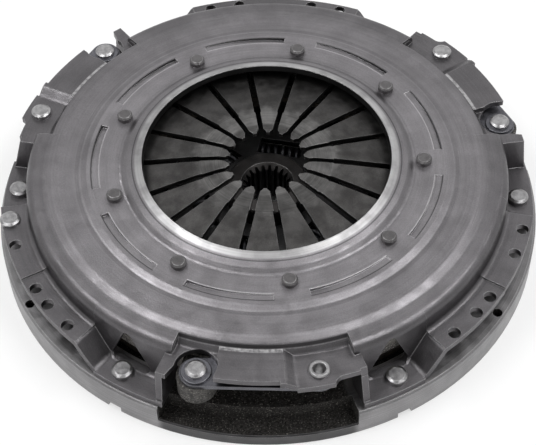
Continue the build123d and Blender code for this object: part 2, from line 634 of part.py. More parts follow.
def make_rear_side_plate():
    low = DISC_MID_Z - FLANGE_T / 2 - SIDE_GAP
    outline = [(SIDE_IN_R, low), (56.5, low), (59.0, CUSHION_Z), (SIDE_OUT_R, CUSHION_Z)]
    with BuildPart() as plate:
        revolve(sheet_profile(outline, [1.5, 1.5], SIDE_T, 0), axis=Axis.Z)
        cut_spring_windows()
        with Locations(*[at(SEGMENT_RIVET_R, a, CUSHION_Z) for a in SEGMENT_ANGLES]):
            Cylinder(SEGMENT_SHANK_R, 8.0, mode=Mode.SUBTRACT)
        with Locations(*[at(STOP_CIRCLE_R, a, low) for a in STOP_ANGLES]):
            Cylinder(STOP_NECK_R, 8.0, mode=Mode.SUBTRACT)
    return plate


def make_front_side_plate():
    low = DISC_MID_Z + FLANGE_T / 2 + SIDE_GAP
    with BuildPart() as plate:
        extrude(disc(56.0, low, SIDE_IN_R), amount=SIDE_T)
        cut_spring_windows()
        with Locations(*[at(STOP_CIRCLE_R, a, low) for a in STOP_ANGLES]):
            Cylinder(STOP_NECK_R, 8.0, mode=Mode.SUBTRACT)
    return plate


def make_stop_pins():
    half = FLANGE_T / 2 + SIDE_GAP
    low, high = DISC_MID_Z - half, DISC_MID_Z + half
    back, front = low - SIDE_T, high + SIDE_T
    outline = [(0, back - 1.0), (3.4, back - 1.0), (3.4, back), (STOP_NECK_R, back), (STOP_NECK_R, low),
               (STOP_PIN_R, low), (STOP_PIN_R, high), (STOP_NECK_R, high), (STOP_NECK_R, front),
               (3.4, front), (3.4, front + 1.2), (0, front + 1.2)]
    return round_pins([at(STOP_CIRCLE_R, a) for a in STOP_ANGLES], outline)


def make_damper_springs():
    with BuildPart() as springs:
        with Locations(*[at(SPRING_R, a, DISC_MID_Z) for a in DAMPER_ANGLES]):
            Cylinder(SPRING_OUT_R, SPRING_LEN, rotation=(90, 0, 0))
            Cylinder(SPRING_OUT_R - SPRING_WIRE, SPRING_LEN, rotation=(90, 0, 0), mode=Mode.SUBTRACT)
    return springs


def make_friction_washer(side):
    """Washer between the hub flange and a side plate; side is +1 in front, -1 behind."""
    inner = DISC_MID_Z + side * (FLANGE_T / 2 + PLAY)
    thickness = SIDE_GAP - PLAY - (1.0 if side > 0 else 0.0)
    with BuildPart() as washer:
        extrude(disc(29.5, inner, SIDE_IN_R + 0.2), amount=side * thickness)
    return washer


def make_wave_spring():
    with BuildPart() as spring:
        extrude(disc(29.0, DISC_MID_Z + FLANGE_T / 2 + SIDE_GAP - 1.0, 24.0), amount=1.0)
    return spring


def make_hub():
    low, high = DISC_MID_Z - FLANGE_T / 2, DISC_MID_Z + FLANGE_T / 2
    outline = [(10.0, HUB_BOTTOM), (HUB_R - 1.0, HUB_BOTTOM), (HUB_R, HUB_BOTTOM + 1.0), (HUB_R, low),
               (HUB_FLANGE_R, low), (HUB_FLANGE_R, high), (HUB_R, high), (HUB_R, HUB_TOP - 0.8),
               (HUB_R - 0.8, HUB_TOP), (10.0, HUB_TOP)]
    notch_r = STOP_CIRCLE_R - STOP_PIN_R - 0.6
    with BuildPart() as hub:
        revolve(section(outline), axis=Axis.Z)
        cut_spring_windows()
        for angle in STOP_ANGLES:
            notch = ring_sector(notch_r, HUB_FLANGE_R + 2, angle, STOP_SWING + 4.0, low - 1)
            extrude(notch, amount=FLANGE_T + 2, mode=Mode.SUBTRACT)
        with BuildSketch() as groove:
            with BuildLine():
                Polyline((SPLINE_TIP_R - 1, -1.25), (SPLINE_ROOT_R, -0.75), (SPLINE_ROOT_R, 0.75),
                         (SPLINE_TIP_R - 1, 1.25), close=True)
            make_face()
        with BuildSketch(Plane.XY.offset(HUB_BOTTOM - 1)):
            Circle(SPLINE_TIP_R)
            with PolarLocations(0, SPLINE_TEETH):
                add(groove.sketch)
        extrude(amount=HUB_TOP, mode=Mode.SUBTRACT)
        with Locations((0, 0, HUB_TOP)):
            Cone(SPLINE_TIP_R, SPLINE_ROOT_R + 1.0, 3.0, mode=Mode.SUBTRACT,
                 align=(Align.CENTER, Align.CENTER, Align.MAX))
    return hub


def main():
    pieces = {
        "cover": make_cover, "counter_plate": make_counter_plate, "foot_rivets": make_foot_rivets,
        "strap_cover_rivets": make_strap_cover_rivets, "tubular_rivet": make_tubular_rivet,
        "balance_rivet": make_balance_rivet, "spacer_bolts": make_spacer_bolts,
        "diaphragm_spring": make_diaphragm, "sensor_spring": make_sensor_spring,
        "adjuster_springs": make_adjuster_springs, "adjusting_ring": make_adjusting_ring,
        "pressure_plate": make_pressure_plate, "lug_rivets": make_lug_rivets,
        "lug_washers": make_lug_washers, "facing_rivets": make_facing_rivets,
        "cushion_segments": make_cushion_segments, "segment_rivets": make_segment_rivets,
        "rear_side_plate": make_rear_side_plate, "front_side_plate": make_front_side_plate,
        "stop_pins": make_stop_pins, "damper_springs": make_damper_springs,
        "wave_spring": make_wave_spring, "hub": make_hub,
    }
    for name, make in pieces.items():
        save(name, make())
    for name, axis in zip(("front", "right", "left"), SECTORS):
        save(f"strap_pack_{name}", make_strap(axis))
    save("rear_facing", make_facing(REAR_FACING_Z, REAR_FACING_Z))
    save("front_facing", make_facing(FRONT_FACING_Z, FRONT_FACING_Z + FACING_T))
    save("rear_friction_washer", make_friction_washer(-1))
    save("front_friction_washer", make_friction_washer(1))


if __name__ == "__main__":
    main()
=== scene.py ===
from math import cos, pi, radians, sin

import bpy
from bpy.props import FloatProperty, FloatVectorProperty, IntProperty, PointerProperty
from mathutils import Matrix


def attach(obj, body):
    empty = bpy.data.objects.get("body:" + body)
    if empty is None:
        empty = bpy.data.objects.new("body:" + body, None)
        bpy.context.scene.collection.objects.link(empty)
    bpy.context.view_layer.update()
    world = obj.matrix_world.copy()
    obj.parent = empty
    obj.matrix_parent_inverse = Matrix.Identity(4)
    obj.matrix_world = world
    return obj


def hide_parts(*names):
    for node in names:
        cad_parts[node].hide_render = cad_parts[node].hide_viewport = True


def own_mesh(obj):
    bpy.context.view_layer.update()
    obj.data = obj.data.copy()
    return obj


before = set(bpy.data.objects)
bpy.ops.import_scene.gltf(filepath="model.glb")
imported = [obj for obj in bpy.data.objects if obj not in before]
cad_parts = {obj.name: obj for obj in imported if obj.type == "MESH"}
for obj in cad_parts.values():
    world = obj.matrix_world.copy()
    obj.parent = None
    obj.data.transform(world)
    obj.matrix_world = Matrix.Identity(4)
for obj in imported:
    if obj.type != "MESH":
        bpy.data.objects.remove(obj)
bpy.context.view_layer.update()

bl_info = {
    "name": "Clutch unit",
    "version": (1, 2, 0),
    "blender": (4, 5, 0),
    "location": "View3D > Sidebar > Clutch",
    "description": "Finishes, coil springs and stage for a riveted diaphragm-spring clutch unit",
    "category": "Object",
}

MM = 0.001                                              # metres

# Coil springs
SECTORS = (-90.0, 30.0, 150.0)                          # degrees, recesses with an adjuster spring over each
DAMPER_ANGLES = (20.0, 80.0, 140.0, 200.0, 260.0, 320.0)
WIRE_SIDES = 10
TURN_STEPS = 20
SMOOTH_ANGLE = radians(40)

# Zones of the cover: radii (R) and heights (Z) in millimetres, each from where it starts to where it ends.
# Most of them place painted shade and painted highlight on the cover's folds, steps, slots, dome, low levels
# and opening wall; the lip land is ground and the bead is a bump.
OPENING_WALL_R = (67.7, 67.9)
OPENING_WALL_Z = (54.2, 54.6)
LIP_LAND_R = (60.0, 71.6)
LIP_LAND_Z = (50.0, 52.0)
LIP_LINE_R = (72.6, 73.3)
CROWN_FOOT_R = (78.5, 80.5)
CROWN_FOLD_R = (80.2, 80.9)
RAMP_INNER_R = (90.7, 91.3)
RAMP_OUTER_R = (95.0, 95.7)
STEP_SLOPE_R = (97.8, 101.0)
STEP_FOOT_R = (101.9, 104.3)
DOME_START_R = (103.8, 105.4)
BEAD_R = (114.8, 120.8)
DOME_EDGE_R = (117.5, 122.0)
LEDGE_WALL_R = (122.6, 123.4)
LEDGE_WALL_Z = (46.1, 47.7)
# Painted highlight along the ledge fold lies between these radii and heights
LEDGE_HIGHLIGHT_R = (122.3, 124.2)
LEDGE_HIGHLIGHT_Z = (45.4, 46.0)
LOW_LEVELS_Z = (45.9, 47.0)
BEAD_DEPTH = 1.1
RAMPS = 9
RAMP_ENDS = (0.60, 0.67)                                # cosines, just inside and past a ramp's ends

# Zones of the other pieces, in millimetres
TRACK_R = (36.0, 42.0)                                  # bearing track of the diaphragm spring
TRACK_Z = (44.0, 46.5)
# Painted shade in the hub's bore lies between these radii and heights
BORE_R = (14.0, 14.6)                                   # splined bore of the hub
BORE_Z = (26.0, 31.0)
# Painted light on the pressure plate's outer wall lies between these radii
PLATE_PAINTED_LIGHT_R = (120.9, 122.2)                           # outer wall of the pressure plate
RIM_R = (147.2, 147.5)                                  # turned rim and faces of the counter plate
RIM_TOP_Z = (16.2, 16.6)
RIM_UNDER_Z = (0.1, 0.4)
SILL_Z = (6.2, 6.8)                                     # rim strip under the three recesses
RECESS_ENDS = (0.48, 0.56)                              # cosines, past and just inside a recess's ends
FACE_TILTS = (0.5, 0.7)                                 # upright parts of a normal that count as a face

# Stage: metres, degrees and shares
FLOOR_SIZE = 6.0
FLOOR_PLACE = (0.0, 0.0, -0.0005)
FLOOR_ROUGHNESS = 0.9
FLOOR_GLOW = 0.6
UNDER_UNIT_R = (0.12, 0.145)                            # the floor's glow starts between these radii
SKY_FALL = (0.3, 1.0)                                   # upward part of a ray, from full to dim
SKY_OVERHEAD = 0.3
SKY_BEHIND = 0.25
SKY_MIDDLE = 0.9
KEY_LIGHT = ((0.55, -0.05, 1.2), (0, 25, 0), (0.35, 0.9))   # place, turn, size; a second one mirrors it
BACK_LIGHT = ((0.3, 1.25, 1.15), (-47, 0, 0), (1.8, 0.7))
FRONT_LIGHT = ((0, -1.5, 0.8), (62, 0, 0), (2.0, 0.5))
CAMERA_PLACE = (0.02975712, -0.5463256, 0.65370769)
CAMERA_TURN = (39.77096, 0.92331, 2.02371)
SENSOR_WIDTH = 36


# ---- settings --------------------------------------------------------------------------------
def colour(name, default, description):
    return FloatVectorProperty(name=name, description=description, subtype="COLOR", size=3, min=0.0,
                               max=1.0, default=default)


def number(name, default, description, high):
    return FloatProperty(name=name, description=description, default=default, min=0.0, max=high)


def count(name, default, description):
    return IntProperty(name=name, description=description, default=default, min=3)


def length(name, default_mm, description):
    return FloatProperty(name=name, description=description, default=default_mm * MM, min=0.0, max=0.5,
                         unit="LENGTH", subtype="DISTANCE", precision=5)


class ClutchSteel(bpy.types.PropertyGroup):
    cover: colour("Cover", (0.231, 0.222, 0.232), "Pressed sheet of the cover")
    lip: colour("Lip", (0.50, 0.495, 0.50), "Ground land round the opening of the cover")
    rivet: colour("Rivets", (0.37, 0.365, 0.37), "Upset rivet heads")
    bolt: colour("Spacer bolts", (0.145, 0.14, 0.142), "Heads of the spacer bolts")
    finger: colour("Diaphragm spring", (0.066, 0.064, 0.063), "Tempered spring steel")
    polish: colour("Bearing track", (0.135, 0.132, 0.130), "Polished track near the finger ends")
    strap: colour("Leaf straps", (0.14, 0.14, 0.155), "Blued leaf straps and washers")
    wire: colour("Coil springs", (0.075, 0.075, 0.08), "Drawn spring wire")
    disc: colour("Disc plates", (0.055, 0.054, 0.055), "Side plates and carriers of the disc")
    hub: colour("Hub", (0.050, 0.047, 0.046), "Splined hub")


class ClutchIron(bpy.types.PropertyGroup):
    counter: colour("Counter plate casting", (0.040, 0.038, 0.036), "As-cast skin of the counter plate")
    plate: colour("Pressure plate casting", (0.064, 0.0608, 0.0576), "As-cast skin of the pressure plate")
    machined: colour("Machined", (0.26, 0.255, 0.26), "Turned faces of the counter plate")
    lining: colour("Lining", (0.075, 0.064, 0.055), "Friction lining")
    washer: colour("Friction washers", (0.03, 0.03, 0.03), "Friction washers of the damper")
    brass: colour("Lining rivets", (0.42, 0.28, 0.10), "Brass rivets of the linings")


class ClutchCoils(bpy.types.PropertyGroup):
    damper_circle: length("Damper circle", 36.5, "Radius of the circle of the damper springs")
    damper_height: length("Damper height", 14.3, "Height of the damper springs' axes")
    damper_radius: length("Damper radius", 5.3, "Outside radius of a damper spring")
    damper_wire: length("Damper wire", 2.6, "Wire thickness of a damper spring")
    damper_length: length("Damper length", 25.0, "Length of a damper spring")
    damper_turns: count("Damper turns", 6, "Turns of a damper spring")
    adjuster_circle: length("Adjuster circle", 101.5, "Radius of the circle of the adjuster springs")
    adjuster_height: length("Adjuster height", 43.2, "Height of the adjuster springs' axes")
    adjuster_radius: length("Adjuster radius", 2.0, "Outside radius of an adjuster spring")
    adjuster_wire: length("Adjuster wire", 0.7, "Wire thickness of an adjuster spring")
    adjuster_length: length("Adjuster length", 24.0, "Length of an adjuster spring")
    adjuster_turns: count("Adjuster turns", 13, "Turns of an adjuster spring")


class ClutchStage(bpy.types.PropertyGroup):
    floor: colour("Floor", (0.9, 0.9, 0.9), "Floor and backdrop")
    key_power: number("Key lights", 7.8, "Power of each of the two overhead lights, in watts", 500.0)
    back_power: number("Back light", 2.1, "Power of the wide light behind, in watts", 500.0)
    front_power: number("Front light", 2.2, "Power of the long light in front, in watts", 500.0)
    sky: number("Surround", 0.85, "Brightness of the white surround near the horizon", 5.0)
    lens: number("Lens", 100.79, "Focal length of the camera, in millimetres", 300.0)


# ---- nodes -----------------------------------------------------------------------------------
def add_node(tree, kind, inputs=None, **settings):
    """A new node with these settings, each input linked to a socket or set to a value."""
    node = tree.nodes.new(kind)
    for key, value in settings.items():
        setattr(node, key, value)
    for key, value in (inputs or {}).items():
        if isinstance(value, bpy.types.NodeSocket):
            tree.links.new(value, node.inputs[key])
        else:
            node.inputs[key].default_value = value
    return node


def maths(tree, operation, *values):
    return add_node(tree, "ShaderNodeMath", dict(enumerate(values)), operation=operation).outputs[0]


def full_colour(value):
    return value if isinstance(value, bpy.types.NodeSocket) else (*value, 1.0)


class Finish:
    """One material laid out from its nodes in Object coordinates, with lengths in millimetres."""

    def __init__(self, name, metallic):
        self.material = bpy.data.materials.new(name)
        self.material.use_nodes = True
        self.tree = self.material.node_tree
        self.shader = self.tree.nodes["Principled BSDF"]
        self.shader.inputs["Metallic"].default_value = metallic
        self.place = self.vector("SCALE", self.node("ShaderNodeTexCoord").outputs["Object"], scale=1 / MM)
        across, along, self.height = self.node("ShaderNodeSeparateXYZ", {0: self.place}).outputs
        flat = self.node("ShaderNodeCombineXYZ", {0: across, 1: along}).outputs[0]
        self.radius = self.vector("LENGTH", flat)
        self.angle = self.maths("ARCTAN2", along, across)

    def node(self, kind, inputs=None, **settings):
        return add_node(self.tree, kind, inputs, **settings)

    def maths(self, operation, *values):
        return maths(self.tree, operation, *values)

    def product(self, first, *others):
        for other in others:
            first = self.maths("MULTIPLY", first, other)
        return first

    def vector(self, operation, value, other=None, scale=None):
        inputs = {0: value}
        if other is not None:
            inputs[1] = other
        if scale is not None:
            inputs["Scale"] = scale
        result = "Value" if operation in ("LENGTH", "DOT_PRODUCT") else "Vector"
        return self.node("ShaderNodeVectorMath", inputs, operation=operation).outputs[result]

    def noise(self, size, detail=3.0, place=None, rough=0.55):
        """Noise from 0 to 1 whose lumps are about size millimetres across."""
        inputs = {"Vector": place or self.place, "Scale": 1 / size, "Detail": detail, "Roughness": rough}
        return self.node("ShaderNodeTexNoise", inputs).outputs["Fac"]

    def marks(self, along, across, lift, detail, rough=0.5):
        """Noise that runs round the axis: along, across and lift are the sizes of its lumps."""
        cosine = self.maths("COSINE", self.angle)
        sine = self.maths("SINE", self.angle)
        turn = self.node("ShaderNodeCombineXYZ", {0: cosine, 1: sine}).outputs[0]
        turn = self.vector("SCALE", turn, scale=100.0 / along)
        rise = self.maths("ADD", self.maths("DIVIDE", self.radius, across),
                          self.maths("DIVIDE", self.height, lift))
        rise = self.node("ShaderNodeCombineXYZ", {2: rise}).outputs[0]
        return self.noise(1.0, detail, self.vector("ADD", turn, rise), rough)

    def span(self, value, low, high, start=0.0, end=1.0):
        """Smooth step from start to end as value goes from low to high."""
        inputs = {"Value": value, "From Min": low, "From Max": high, "To Min": start, "To Max": end}
        return self.node("ShaderNodeMapRange", inputs, interpolation_type="SMOOTHSTEP").outputs[0]

    def spread(self, noise, start, end, reach=0.2):
        """The middle of a noise, within reach of a half, spread from start to end."""
        return self.span(noise, 0.5 - reach, 0.5 + reach, start, end)

    def patches(self, size, start, end, detail=3.0, reach=0.2):
        """Patches of about size millimetres, from start to end."""
        return self.spread(self.noise(size, detail), start, end, reach)

    def band(self, value, limits, soft=0.3):
        """1 between the limits, falling to 0 over soft at each side."""
        low, high = limits
        rise = self.span(value, low - soft, low + soft)
        return self.maths("MULTIPLY", rise, self.span(value, high - soft, high + soft, 1.0, 0.0))

    def mix(self, share, one, two):
        return self.node("ShaderNodeMix", {"Factor": share, 2: one, 3: two}).outputs[0]

    def blend(self, share, one, two):
        inputs = {"Factor": share, 6: full_colour(one), 7: full_colour(two)}
        return self.node("ShaderNodeMix", inputs, data_type="RGBA").outputs[2]

    def shade(self, base, *factors):
        """The colour base, made lighter or darker by the product of the factors."""
        base = base if isinstance(base, bpy.types.NodeSocket) else tuple(base)
        return self.vector("SCALE", base, scale=self.product(*factors))

    def rounded(self, radius):
        """Normal of the surface with its corners rounded."""
        return self.node("ShaderNodeBevel", {"Radius": radius * MM}, samples=4).outputs[0]

    def edge_wear_and_highlight(self, radius):
        """1 on corners sharper than about radius, 0 on open faces: the mask for corners lightened partly by
        wear and partly as painted highlight.
        """
        plain = self.node("ShaderNodeNewGeometry").outputs["Normal"]
        return self.span(self.vector("DOT_PRODUCT", self.rounded(radius), plain), 0.99, 0.80)

    def relief(self, *layers, corners=0.0):
        """Bump from (height, depth) layers, over corners rounded to this radius."""
        below = self.rounded(corners) if corners else None
        for height, depth in layers:
            inputs = {"Height": height, "Distance": depth * MM, "Strength": 1.0}
            if below:
                inputs["Normal"] = below
            below = self.node("ShaderNodeBump", inputs).outputs[0]
        return below

    def done(self, tone, rough, normal):
        for key, socket in (("Base Color", tone), ("Roughness", rough), ("Normal", normal)):
            self.tree.links.new(socket, self.shader.inputs[key])
        return self.material


# ---- finishes --------------------------------------------------------------------------------
def painted_cover_shading(look):
    """Painted shade and painted highlight, as factors for the cover's colour: dark lines at the folds, steps
    and slots, a lighter inner edge at the slots, and a darker crown slope, dome, dome edge, low levels and
    wall of the opening.
    """
    line = look.band(look.radius, LIP_LINE_R, 0.25)
    wall = look.product(look.span(look.radius, *reversed(OPENING_WALL_R)),
                        look.span(look.height, *reversed(OPENING_WALL_Z)))
    crown = look.span(look.radius, *CROWN_FOOT_R, 0.84, 1.0)
    crown_fold = look.band(look.radius, CROWN_FOLD_R, 0.6)
    ramps = look.span(look.maths("COSINE", look.maths("MULTIPLY", look.angle, RAMPS)), *reversed(RAMP_ENDS))
    ramp_inner = look.product(look.band(look.radius, RAMP_INNER_R, 0.2), ramps)
    ramp_outer = look.product(look.band(look.radius, RAMP_OUTER_R, 0.2), ramps)
    step_slope = look.band(look.radius, STEP_SLOPE_R, 0.4)
    step_foot = look.band(look.radius, STEP_FOOT_R, 0.5)
    dome = look.span(look.radius, *DOME_START_R, 1.0, 0.87)
    dome_edge = look.span(look.radius, *DOME_EDGE_R, 1.0, 0.76)
    ledge_wall = look.product(look.band(look.height, LEDGE_WALL_Z, 0.2),
                              look.span(look.radius, *reversed(LEDGE_WALL_R)))
    low_levels = look.span(look.height, *LOW_LEVELS_Z, 0.90, 1.0)
    # Painted shade and painted highlight: each mask with its colour factor; 1.45 lightens, the others darken.
    painted_lines = ((line, 0.45), (wall, 0.12), (crown_fold, 0.86), (ramp_inner, 1.45), (ramp_outer, 0.3),
             (step_slope, 0.86), (step_foot, 0.76), (ledge_wall, 0.35))
    return (crown, dome, dome_edge, low_levels, *(look.mix(share, 1.0, factor) for share, factor in painted_lines))


def sheet_steel(name, base, lip):
    """Cold-pressed cover sheet: mottled skin, draw marks round the axis, scratches and a ground lip, with
    painted shade and painted highlight laid over them.
    """
    look = Finish(name, 1.0)
    speckle = look.patches(0.55, 0.90, 1.10, 2.0, reach=0.25)
    drawn = look.marks(160.0, 1.4, 9.0, 3.0, 0.65)
    tone = look.shade(base, look.patches(14.0, 0.90, 1.08, 4.0), speckle,
                      look.patches(45.0, 0.93, 1.05, 2.0, reach=0.15), look.spread(drawn, 0.93, 1.07))
    scuff = look.product(look.span(look.marks(22.0, 0.35, 1.2, 2.0), 0.66, 0.74),
                         look.span(look.noise(30.0, 1.0), 0.45, 0.6))
    tone = look.blend(look.maths("MULTIPLY", scuff, 0.30), tone, lip)
    # Painted highlight: a ragged bright line along the ledge fold, joined with the corners that are lightened
    # partly by wear and partly as painted highlight.
    painted_fold_highlight = look.product(look.band(look.radius, LEDGE_HIGHLIGHT_R, 0.3), look.band(look.height, LEDGE_HIGHLIGHT_Z, 0.15),
                       look.span(look.noise(1.8), 0.35, 0.6, 0.35, 1.0))
    bright = look.maths("MAXIMUM", look.maths("MULTIPLY", look.edge_wear_and_highlight(0.8), 0.6), painted_fold_highlight)
    tone = look.blend(bright, tone, (0.75, 0.74, 0.75))
    land = look.product(look.band(look.radius, LIP_LAND_R, 0.7), look.span(look.height, *LIP_LAND_Z))
    ground = look.shade(lip, look.spread(drawn, 0.78, 1.08, reach=0.25),
                        look.span(look.noise(16.0), 0.35, 0.6, 0.72, 1.05))
    # The cover's colour gets its painted shade and painted highlight here.
    tone = look.shade(look.blend(land, tone, ground), *painted_cover_shading(look))
    rough = look.maths("ADD", look.patches(9.0, 0.36, 0.50), look.span(speckle, 0.9, 1.1, 0.04, -0.04))
    rough = look.mix(land, look.mix(scuff, rough, 0.28), 0.36)
    bead = look.span(look.radius, *BEAD_R, 1.0, 0.0)
    normal = look.relief((look.noise(0.9), 0.09), (drawn, 0.05), (look.noise(22.0, 1.0), 0.5),
                         (bead, BEAD_DEPTH), corners=0.7)
    return look.done(tone, rough, normal)


def upset_head(name, base, dark):
    """Rivet or bolt head: hammered top with dark patches, and a bright rim, partly wear and partly painted
    highlight.
    """
    look = Finish(name, 1.0)
    tone = look.shade(base, look.patches(2.6, dark, 1.1), look.patches(0.35, 0.9, 1.1, 2.0))
    tone = look.blend(look.maths("MULTIPLY", look.edge_wear_and_highlight(0.7), 0.5), tone, (0.8, 0.8, 0.8))
    rough = look.patches(1.6, 0.28, 0.45)
    facets = look.node("ShaderNodeTexVoronoi", {"Vector": look.place, "Scale": 0.32}).outputs["Distance"]
    return look.done(tone, rough, look.relief((facets, 0.12), (look.noise(0.5, 2.0), 0.04), corners=0.6))


def tempered_spring(name, base, polish):
    """Diaphragm spring: dark tempered skin, with the bearing track polished near the finger ends."""
    look = Finish(name, 1.0)
    mottle = look.patches(9.0, 0.7, 1.25, 4.0)
    turned = look.marks(120.0, 0.6, 9.0, 2.0, 0.6)
    ragged = look.maths("ADD", look.radius, look.span(look.noise(7.0), 0.2, 0.8, -2.5, 2.5))
    track = look.product(look.span(ragged, *reversed(TRACK_R)), look.span(look.height, *TRACK_Z))
    tone = look.blend(track, look.shade(base, mottle, look.patches(0.6, 0.9, 1.1, 2.0)),
                      look.shade(polish, look.spread(turned, 0.8, 1.1), mottle))
    # Corners lightened partly by wear and partly as painted highlight.
    tone = look.blend(look.maths("MULTIPLY", look.edge_wear_and_highlight(0.4), 0.35), tone, (0.55, 0.55, 0.55))
    rough = look.mix(track, look.patches(5.0, 0.42, 0.58), 0.30)
    return look.done(tone, rough, look.relief((look.noise(0.6, 2.0), 0.03), (turned, 0.03), corners=0.4))


def plain_metal(name, base, rough_low, rough_high, edge_wear_and_highlight_share=0.35, painted_bore_shade=False):
    """Satin metal with blotches, fine grain, turning marks and corners lightened partly by wear and partly as
    painted highlight; its bore can get painted shade, darker towards its bottom.
    """
    look = Finish(name, 1.0)
    turned = look.marks(90.0, 0.7, 0.7, 2.0, 0.6)
    tone = look.shade(base, look.patches(6.0, 0.82, 1.15, 4.0), look.patches(0.5, 0.88, 1.12, 2.0),
                      look.spread(turned, 0.93, 1.07))
    # Corners lightened partly by wear and partly as painted highlight.
    tone = look.blend(look.maths("MULTIPLY", look.edge_wear_and_highlight(0.35), edge_wear_and_highlight_share), tone, (0.6, 0.6, 0.6))
    # Painted shade: the hub's bore is darkened towards its bottom.
    if painted_bore_shade:
        inside = look.span(look.radius, *reversed(BORE_R))
        tone = look.shade(tone, look.mix(inside, 1.0, look.span(look.height, *BORE_Z, 0.1, 1.0)))
    rough = look.patches(4.0, rough_low, rough_high)
    return look.done(tone, rough, look.relief((look.noise(0.5, 2.0), 0.04), (turned, 0.05), corners=0.35))


def cast_skin(look, base):
    """Colour and bump height of sand-cast iron."""
    grit = look.noise(1.1, rough=0.7)
    glint = look.span(look.noise(0.8, 1.0), 0.62, 0.72)
    tone = look.shade(base, look.patches(8.0, 0.8, 1.25), look.spread(grit, 0.35, 1.65))
    tone = look.blend(look.maths("MULTIPLY", glint, 0.6), tone, (0.38, 0.36, 0.33))
    return tone, look.maths("ADD", look.noise(2.0, 2.0), grit)


def cast_iron(name, base):
    """Pressure plate: sand-cast iron, with painted light on its outer wall."""
    look = Finish(name, 0.35)
    tone, height = cast_skin(look, base)
    # Painted light: the outer wall is made up to six times lighter, as if lit.
    tone = look.shade(tone, look.mix(look.band(look.radius, PLATE_PAINTED_LIGHT_R), 1.0, 6.0))
    return look.done(tone, look.patches(3.0, 0.62, 0.85, 2.0), look.relief((height, 0.30), corners=0.5))


def turned_iron(name, base, cast):
    """Counter plate: turned rim and faces, sand-cast everywhere else and between the cover's feet."""
    look = Finish(name, 0.9)
    upright = look.node("ShaderNodeNewGeometry").outputs["Normal"]
    upright = look.node("ShaderNodeSeparateXYZ", {0: upright}).outputs[2]
    low, high = FACE_TILTS
    recess = look.maths("COSINE", look.maths("MULTIPLY_ADD", look.angle, len(SECTORS), -pi / 2))
    top = look.product(look.span(upright, low, high), look.span(look.height, *RIM_TOP_Z),
                       look.span(recess, *reversed(RECESS_ENDS)))
    bottom = look.product(look.span(upright, -low, -high), look.span(look.height, *reversed(RIM_UNDER_Z)))
    cut = look.maths("MAXIMUM", look.maths("MAXIMUM", look.span(look.radius, *RIM_R), top), bottom)
    turned = look.marks(400.0, 0.8, 0.55, 3.0, 0.6)
    bright = look.shade(base, look.patches(10.0, 0.86, 1.12, 4.0), look.spread(turned, 0.86, 1.14),
                        look.patches(0.5, 0.92, 1.08, 2.0))
    # Corners lightened partly by wear and partly as painted highlight.
    bright = look.blend(look.maths("MULTIPLY", look.edge_wear_and_highlight(0.5), 0.55), bright, (0.75, 0.75, 0.75))
    sill = look.product(look.span(recess, *RECESS_ENDS), look.span(look.height, *reversed(SILL_Z)))
    bright = look.shade(bright, look.mix(sill, 1.0, 0.32))
    tone, height = cast_skin(look, cast)
    tone = look.blend(cut, tone, bright)
    rough = look.mix(cut, 0.75, look.patches(5.0, 0.34, 0.48))
    deep = look.maths("MULTIPLY", height, look.mix(cut, 1.0, 0.0))
    return look.done(tone, rough, look.relief((deep, 0.30), (turned, 0.05), corners=0.5))


def lining(name, base):
    """Moulded friction lining with short fibres in it."""
    look = Finish(name, 0.0)
    fibre = look.span(look.marks(5.0, 0.5, 0.5, 2.0, 0.55), 0.58, 0.68)
    tone = look.shade(base, look.patches(4.0, 0.75, 1.25))
    tone = look.blend(look.maths("MULTIPLY", fibre, 0.5), tone, (0.22, 0.17, 0.09))
    return look.done(tone, look.patches(2.0, 0.75, 0.95, 2.0), look.relief((look.noise(0.5), 0.12)))


def dress(material, *nodes):
    """Give these nodes the material."""
    for node in nodes:
        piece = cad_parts[node]
        piece.data.materials.clear()
        piece.data.materials.append(material)


class CLUTCH_OT_cover(bpy.types.Operator):
    """Pressed cover with its ground lip"""
    bl_idname = "clutch.cover"
    bl_label = "Cover"

    def execute(self, context):
        steel = context.scene.clutch_steel
        dress(sheet_steel("cover_steel", steel.cover, steel.lip), "cover")
        return {"FINISHED"}


class CLUTCH_OT_fasteners(bpy.types.Operator):
    """Rivets and spacer bolts"""
    bl_idname = "clutch.fasteners"
    bl_label = "Rivets and bolts"

    def execute(self, context):
        steel = context.scene.clutch_steel
        dress(upset_head("rivet_steel", steel.rivet, 0.72), "foot_rivets", "strap_cover_rivets",
              "tubular_rivet", "balance_rivet", "lug_rivets")
        dress(upset_head("bolt_steel", steel.bolt, 0.85), "spacer_bolts")
        return {"FINISHED"}


class CLUTCH_OT_flat_springs(bpy.types.Operator):
    """Diaphragm spring, sensor spring, wave spring and leaf straps"""
    bl_idname = "clutch.flat_springs"
    bl_label = "Flat springs"

    def execute(self, context):
        steel = context.scene.clutch_steel
        dress(tempered_spring("spring_steel", steel.finger, steel.polish), "diaphragm_spring")
        dress(plain_metal("sensor_steel", steel.finger, 0.4, 0.55), "sensor_spring", "wave_spring")
        dress(plain_metal("strap_steel", steel.strap, 0.3, 0.45), "strap_pack_front", "strap_pack_right",
              "strap_pack_left", "lug_washers")
        return {"FINISHED"}


class CLUTCH_OT_castings(bpy.types.Operator):
    """Pressure plate and counter plate"""
    bl_idname = "clutch.castings"
    bl_label = "Castings"

    def execute(self, context):
        iron = context.scene.clutch_iron
        dress(cast_iron("cast_iron", iron.plate), "pressure_plate")
        dress(turned_iron("machined_iron", iron.machined, iron.counter), "counter_plate")
        return {"FINISHED"}


